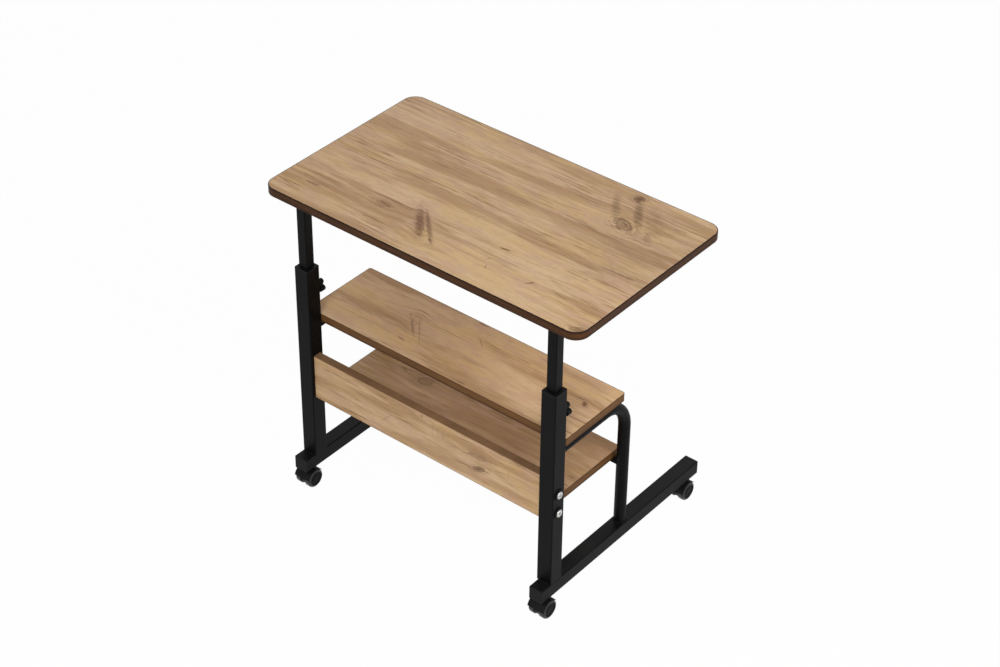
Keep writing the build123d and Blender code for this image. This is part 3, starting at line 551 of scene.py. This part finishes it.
def zinc_plate(name):
    """Bright plate: cloudy grey metal with fine random scratches in its roughness."""
    material, tree, shader, place = new_finish(name, gloss=0.5)
    shader.inputs["Metallic"].default_value = 1.0
    cloud = drawn_noise(tree, place, (220.0, 220.0, 220.0))
    scratch = drawn_noise(tree, place, (300.0, 2600.0, 2600.0), detail=2.0)
    colour = blend_colour(tree, ease(tree, cloud, 0.3, 0.7), *zinc_shades)
    roughness = calc(tree, "MULTIPLY_ADD", scratch, 0.25, 0.22)
    connect(tree, shader, colour, roughness, scratch, depth=0.00002)
    return material


def beech(name):
    """Plain turned beech: short darker flecks on a warm ground."""
    material, tree, shader, place = new_finish(name, gloss=0.35)
    flecks = drawn_noise(tree, place, (900.0, 90.0, 900.0), detail=2.0)
    colour = blend_colour(tree, ease(tree, flecks, 0.45, 0.7), *beech_shades)
    roughness = calc(tree, "MULTIPLY_ADD", flecks, 0.2, 0.5)
    connect(tree, shader, colour, roughness, flecks, depth=0.00005)
    return material


zinc = zinc_plate("zinc_plate")
dowel_beech = beech("beech")
print("metal and wood", zinc.name, dowel_beech.name)

# %% [markdown]
# ## Putting each finish on its piece
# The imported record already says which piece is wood, steel or plastic. That list is read instead of
# typing 57 names, and the boards and bands then get their own versions.

# %% Assign the finishes
slot_finish = {
    "brown_edge": top_band,
    "black_steel": steel_black,
    "black_plastic": plastic_black,
    "zinc_steel": zinc,
    "beech": dowel_beech,
}
own_finish = {
    "tabletop": top_oak,
    "upper_shelf": upper_oak,
    "lower_shelf": lower_oak,
    "back_panel": panel_oak,
    "back_panel_edge_bands": panel_band,
    **shelf_bands,
}
for entry in subparts:
    finish = own_finish.get(entry["node"]) or slot_finish[entry["material_slot"]]
    for material_slot in nodes[entry["node"]].material_slots:
        material_slot.material = finish
print("finished", len(subparts), "pieces")

# %% [markdown]
# ## Surfaces from grids
# Each new piece is made of grids of points worked out with arrays: rows one way, columns the other.
# The last column always meets the first, and in a ring the last row meets the first row too. Where
# a row shrinks to one point, its doubles are merged into a closed pole, and the faces are then
# turned outwards.

# %% A mesh from grids of points
merge_distance, shortest_edge = 0.000001, 0.0000005


def grid_faces(rows, columns, close_rows):
    """Four corner numbers for each cell: itself, its right, diagonal and next-row neighbour."""
    numbers = np.arange(rows * columns).reshape(rows, columns)
    numbers = np.hstack([numbers, numbers[:, :1]])
    if close_rows:
        numbers = np.vstack([numbers, numbers[:1]])
    corners = [numbers[:-1, :-1], numbers[:-1, 1:], numbers[1:, 1:], numbers[1:, :-1]]
    return np.stack(corners, axis=-1).reshape(-1, 4)


def tidy_mesh(mesh):
    """Merge doubled points, drop empty faces, point the rest outwards and shade them smoothly."""
    work = bmesh.new()
    work.from_mesh(mesh)
    bmesh.ops.remove_doubles(work, verts=work.verts, dist=merge_distance)
    bmesh.ops.dissolve_degenerate(work, edges=work.edges, dist=shortest_edge)
    bmesh.ops.recalc_face_normals(work, faces=work.faces)
    work.to_mesh(mesh)
    work.free()
    mesh.shade_smooth()


def put_in_scene(name, data):
    """A new object that shows this mesh, lamp or camera."""
    shown = bpy.data.objects.new(name, data)
    bpy.context.scene.collection.objects.link(shown)
    return shown


def make_piece(name, grids, finish, body, close_rows=False):
    """Join grids into one smooth mesh, give it its finish and let it ride on a body."""
    points, faces, used = [], [], 0
    for grid in grids:
        rows, columns = grid.shape[:2]
        points.append(grid.reshape(-1, 3))
        faces.append(grid_faces(rows, columns, close_rows) + used)
        used += rows * columns
    mesh = bpy.data.meshes.new(name)
    mesh.from_pydata(np.concatenate(points).tolist(), [], np.concatenate(faces).tolist())
    tidy_mesh(mesh)
    mesh.materials.append(finish)
    piece = put_in_scene(name, mesh)
    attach(piece, body)
    return piece


print("points merge within", merge_distance, "m")

# %% [markdown]
# ## Weld beads
# The tubes are welded where they meet, and powder coated afterwards. A weld is a row of small
# overlapping pools, so its bead swells and shrinks along its length. It could be a bevelled curve,
# but a tube worked out point by point can taper to nothing at both ends, as a real bead does.

# %% A bead along a path
pool_pitch, pool_swell = 0.0026, 0.14
taper_share, bead_columns = 0.12, 10


def bead(path, upright, radius, closed=False):
    """Circles round a flat path: they swell by the sine of arc length and shrink at open ends."""
    ahead = np.roll(path, -1, axis=0) - np.roll(path, 1, axis=0)
    if not closed:
        ahead[0] = path[1] - path[0]
        ahead[-1] = path[-1] - path[-2]
    ahead /= np.linalg.norm(ahead, axis=1, keepdims=True)
    outward = np.cross(ahead, upright)
    steps = np.linalg.norm(np.diff(path, axis=0), axis=1)
    travelled = np.concatenate([[0.0], np.cumsum(steps)])
    swell = 1 + pool_swell * np.sin(2 * np.pi * travelled / pool_pitch)
    if not closed:
        share = travelled / travelled[-1]
        swell *= np.clip(np.minimum(share, 1 - share) / taper_share, 0, 1) ** 0.5
    turn = np.linspace(0, 2 * np.pi, bead_columns, endpoint=False)
    ring = np.cos(turn)[None, :, None] * outward[:, None, :]
    ring = ring + np.sin(turn)[None, :, None] * np.asarray(upright)[None, None, :]
    return path[:, None, :] + radius * swell[:, None, None] * ring


def straight(start, end, count):
    """Evenly spaced points from start to end."""
    share = np.linspace(0, 1, count)[:, None]
    return np.asarray(start) * (1 - share) + np.asarray(end) * share


def circle(centre, first, second, radius, count):
    """Points round a centre: radius times cosine along the first axis plus sine along the second."""
    turn = np.linspace(0, 2 * np.pi, count, endpoint=False)[:, None]
    flat = np.cos(turn) * np.asarray(first) + np.sin(turn) * np.asarray(second)
    return np.asarray(centre) + radius * flat


print("pools", pool_pitch, "m apart")

# %% Where the tubes meet
bead_radius, arm_bead_radius = 0.0018, 0.0014
seam_inset, arm_seam_inset = 0.003, 0.002
ring_points, seam_points, arm_seam_points = 240, 90, 60
x_way, y_way, z_way = (1.0, 0.0, 0.0), (0.0, 1.0, 0.0), (0.0, 0.0, 1.0)
rings, seams, arm_seams = [], [], []
for name in ("left", "right"):
    post_low, post_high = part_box(f"{name}_post")
    foot_low, foot_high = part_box(f"{name}_foot")
    tube_low, tube_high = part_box(f"{name}_shelf_support")
    arm_low, arm_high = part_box(f"{name}_top_arm")

    # The bent tube runs from the front face of the post forwards and down to the foot.
    middle_x = (tube_low.x + tube_high.x) / 2
    tube_radius = (tube_high.x - tube_low.x) / 2
    leg_end = (middle_x, tube_high.y - tube_radius, foot_high.z)
    branch_end = (middle_x, post_high.y, tube_high.z - tube_radius)
    leg_circle = circle(leg_end, x_way, y_way, tube_radius, ring_points)
    branch_circle = circle(branch_end, x_way, z_way, tube_radius, ring_points)
    rings.append(bead(leg_circle, z_way, bead_radius, closed=True))
    rings.append(bead(branch_circle, y_way, bead_radius, closed=True))

    # The post stands on the foot, with a seam across its front and its rear face.
    first_x = max(post_low.x, foot_low.x) + seam_inset
    last_x = min(post_high.x, foot_high.x) - seam_inset
    for y in (post_low.y, post_high.y):
        path = straight((first_x, y, foot_high.z), (last_x, y, foot_high.z), seam_points)
        seams.append(bead(path, z_way, bead_radius))

    # The arm under the top meets the inner tube with its rear end: two sides and the bottom.
    end_y = arm_low.y
    first_z, last_z = arm_low.z + arm_seam_inset, arm_high.z - arm_seam_inset
    for x in (arm_low.x, arm_high.x):
        path = straight((x, end_y, first_z), (x, end_y, last_z), arm_seam_points)
        arm_seams.append(bead(path, x_way, arm_bead_radius))
    first_x, last_x = arm_low.x + arm_seam_inset, arm_high.x - arm_seam_inset
    path = straight((first_x, end_y, arm_low.z), (last_x, end_y, arm_low.z), arm_seam_points)
    arm_seams.append(bead(path, z_way, arm_bead_radius))
make_piece("tube_weld_rings", rings, steel_black, "frame", close_rows=True)
make_piece("post_weld_seams", seams, steel_black, "frame")
make_piece("arm_weld_seams", arm_seams, steel_black, "top")
print("welds", len(rings) + len(seams) + len(arm_seams))

# %% [markdown]
# ## Turned caster wheels
# Each twin wheel is a turned shape: one outline, carried round the axle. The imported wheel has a
# plain face. Here its tread rolls over into the face in a wide round, which shows as a bright
# crescent, and a separate dark cover is pressed into a recess, with a shallow dish and a hub. Both
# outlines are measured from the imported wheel's own box, so they keep its radius and its width.

# %% Outlines of a wheel and its cover
def arc(centre_along, centre_out, radius, begin, end, count):
    """Centre plus radius times cosine along the axle and sine away from it, between two angles."""
    turn = np.radians(np.linspace(begin, end, count))
    return np.column_stack([centre_along + radius * np.cos(turn), centre_out + radius * np.sin(turn)])


tread_round, inner_round, lip_round = 0.0042, 0.0012, 0.0006
recess_radius, recess_depth = 0.0160, 0.0030
bore_radius, hub_radius = 0.0031, 0.0070
cavity_radius, cavity_depth = 0.0170, 0.0060
cover_gap, cover_setback, socket_depth = 0.0001, 0.0006, 0.0016
dish_depth, dish_power, hub_dip = 0.0009, 0.8, 0.0006
edge_points, tread_points, dish_steps, hub_steps = 5, 17, 24, 10


def wheel_outline(width, radius):
    """A closed outline, distance along the axle and away from it: bore, recess, tread, hollow."""
    recess = width - recess_depth
    bore = [(0.0, bore_radius), (recess, bore_radius), (recess, recess_radius)]
    lip = arc(width - lip_round, recess_radius + lip_round, lip_round, 270, 360, edge_points)
    tread = arc(width - tread_round, radius - tread_round, tread_round, 0, 90, tread_points)
    inner_edge = arc(inner_round, radius - inner_round, inner_round, 90, 180, edge_points)
    cavity = [(0.0, cavity_radius), (cavity_depth, cavity_radius), (cavity_depth, hub_radius)]
    return np.vstack([bore, lip, tread, inner_edge, cavity, [(0.0, hub_radius)]])


def cover_outline(width):
    """From the back's middle to the front's middle: the dish sinks by a sine, the hub by a parabola."""
    back = width - recess_depth + cover_gap
    front = width - cover_setback
    edge = recess_radius - cover_gap
    socket = bore_radius + cover_gap
    socket_end = width - socket_depth
    rear = [(socket_end, 0.0), (socket_end, socket), (back, socket), (back, edge)]
    lip = arc(front - lip_round, edge - lip_round, lip_round, 90, 0, edge_points)
    share = np.linspace(0.0, 1.0, dish_steps + 1)[1:]
    sunk = front - dish_depth * np.sin(np.pi * share) ** dish_power
    dish = np.column_stack([sunk, (edge - lip_round) * (1 - share) + hub_radius * share])
    share = np.linspace(0.0, 1.0, hub_steps + 1)[1:]
    hub = np.column_stack([front - hub_dip * (1 - share) * share, hub_radius * (1 - share)])
    return np.vstack([rear, lip, dish, hub])


print("the cover's socket has a radius of", bore_radius + cover_gap)

# %% Turn every wheel
wheel_columns = 96


def turned(outline, inner_x, outward, centre_y, centre_z):
    """Carry an outline round the axle, which lies along X: cosine gives its Y and sine its Z."""
    along, away = np.transpose(outline)
    turn = np.linspace(0, 2 * np.pi, wheel_columns, endpoint=False)
    grid = np.empty((len(along), wheel_columns, 3))
    grid[:, :, 0] = inner_x + outward * along[:, None]
    grid[:, :, 1] = centre_y + away[:, None] * np.cos(turn)
    grid[:, :, 2] = centre_z + away[:, None] * np.sin(turn)
    return grid


wheels = [entry["node"] for entry in subparts if entry["node"].endswith("_wheel")]
for name in wheels:
    caster = name.rsplit("_", 2)[0]
    axle_low, axle_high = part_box(f"{caster}_caster_axle")
    low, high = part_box(name)
    width, radius = high.x - low.x, (high.z - low.z) / 2
    outward = 1.0 if low.x + high.x > axle_low.x + axle_high.x else -1.0
    inner_x = low.x if outward > 0 else high.x
    place = (inner_x, outward, (low.y + high.y) / 2, (low.z + high.z) / 2)
    body = name.replace("_wheel", "_roller")
    wheel_grid = turned(wheel_outline(width, radius), *place)
    cover_grid = turned(cover_outline(width), *place)
    wheel = make_piece(name + "_turned", [wheel_grid], wheel_black, body, close_rows=True)
    cover = make_piece(name + "_cover", [cover_grid], cover_black, body)
    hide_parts(name)
    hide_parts(name)
print("turned wheels", len(wheels))

# %% [markdown]
# ## The scene
# The table stands on plain white. A floor that simply reflects light would be grey under a light
# that suits the table, so rays from the camera see it mostly as white glow, while its small
# reflecting share still shows the table's shadow. Glossy rays see the same, so metal reflects what
# the camera sees, and so do rays through glass. The world does the same thing.

# %% Floor and world
white = (1.0, 1.0, 1.0, 1.0)
pale_grey = (0.8, 0.8, 0.8, 1.0)
floor_glow_share, floor_half = 0.98, 9.0
ambient_strength = 0.16


def seen_share(tree, share):
    """The given share for rays from the camera, a gloss or glass, and nothing for other rays."""
    rays = add_node(tree, "LightPath", {}).node
    seen = calc(tree, "MAXIMUM", rays.outputs["Is Camera Ray"], rays.outputs["Is Glossy Ray"])
    seen = calc(tree, "MAXIMUM", seen, rays.outputs["Is Transmission Ray"])
    return calc(tree, "MULTIPLY", seen, share)


def white_floor(name):
    """A diffuse floor under a white glow that only seen rays meet."""
    material = bpy.data.materials.new(name)
    material.use_nodes = True
    tree = material.node_tree
    tree.nodes.remove(tree.nodes["Principled BSDF"])
    matt = add_node(tree, "BsdfDiffuse", {"Color": pale_grey})
    glow = add_node(tree, "Emission", {"Color": white, "Strength": 1.0})
    mixed = add_node(tree, "MixShader", {0: seen_share(tree, floor_glow_share), 1: matt, 2: glow})
    tree.links.new(mixed, tree.nodes["Material Output"].inputs["Surface"])
    return material


floor_mesh = bpy.data.meshes.new("floor")
corners = [(floor_half * x, floor_half * y, 0.0) for x, y in ((-1, -1), (1, -1), (1, 1), (-1, 1))]
floor_mesh.from_pydata(corners, [], [(0, 1, 2, 3)])
floor_mesh.materials.append(white_floor("white_floor"))
floor = put_in_scene("floor", floor_mesh)

world = bpy.data.worlds.new("studio")
bpy.context.scene.world = world
world.use_nodes = True
room = world.node_tree
ambient = add_node(room, "Background", {"Color": white, "Strength": ambient_strength})
backdrop = add_node(room, "Background", {"Color": white, "Strength": 1.0})
lit = add_node(room, "MixShader", {0: seen_share(room, 1.0), 1: ambient, 2: backdrop})
room.links.new(lit, room.nodes["World Output"].inputs["Surface"])
print("floor", tuple(floor.dimensions))

# %% [markdown]
# ## Lights and camera
# Three soft lamps give shape. The key lamp is high behind the table, near the camera. A smaller one
# at the right makes the right faces of the black tubes a little lighter than their rear faces, and
# a weak one opposite keeps the open side from going black. The camera was fitted to the straight
# edges in the photo and is a long lens above the right rear corner.

# %% Soft lamps
lamp_target = (0.0, 0.0, 0.4)


def soft_lamp(name, position, size, watts):
    """A square lamp aimed at the target: its yaw and tilt are arctangents of the way there."""
    lamp = bpy.data.lights.new(name, "AREA")
    lamp.shape = "SQUARE"
    lamp.size = size
    lamp.energy = watts
    lamp_object = put_in_scene(name, lamp)
    lamp_object.location = position
    aim = np.subtract(lamp_target, position)
    yaw = math.atan2(aim[0], -aim[1])
    tilt = math.atan2(np.hypot(aim[0], aim[1]), -aim[2])
    lamp_object.rotation_euler = (tilt, 0.0, yaw + math.pi)


# Each lamp: where it hangs, the length of its side, and its power in watts.
soft_lamp("key_lamp", (1.8, -3.4, 3.4), 2.4, 130.0)
soft_lamp("right_lamp", (2.9, -0.4, 3.1), 1.4, 54.0)
soft_lamp("front_left_lamp", (-2.2, 3.2, 2.0), 2.2, 18.0)
print("lamps", [light.name for light in bpy.data.lights])

# %% Camera
camera_place = (2.3643, -2.9301, 3.1764)
azimuth, elevation, roll = 38.830, 36.384, 0.650
sensor_width = 36.0
focal_length_in_widths = 2.34049
camera_data = bpy.data.cameras.new("camera")
camera_data.sensor_width = sensor_width
camera_data.lens = focal_length_in_widths * sensor_width
camera_data.clip_end = 50.0
camera = put_in_scene("camera", camera_data)
camera.matrix_world = (
    Matrix.Translation(camera_place)
    @ Matrix.Rotation(math.radians(azimuth), 4, "Z")
    @ Matrix.Rotation(math.radians(90.0 - elevation), 4, "X")
    @ Matrix.Rotation(math.radians(roll), 4, "Z")
)
bpy.context.scene.camera = camera
bpy.context.scene.view_settings.view_transform = "Standard"
print("lens", round(camera_data.lens, 2), "mm")

# %% [markdown]
# ## Finish
# The view layer is brought up to date at the end.

# %% Finish
bpy.context.view_layer.update()
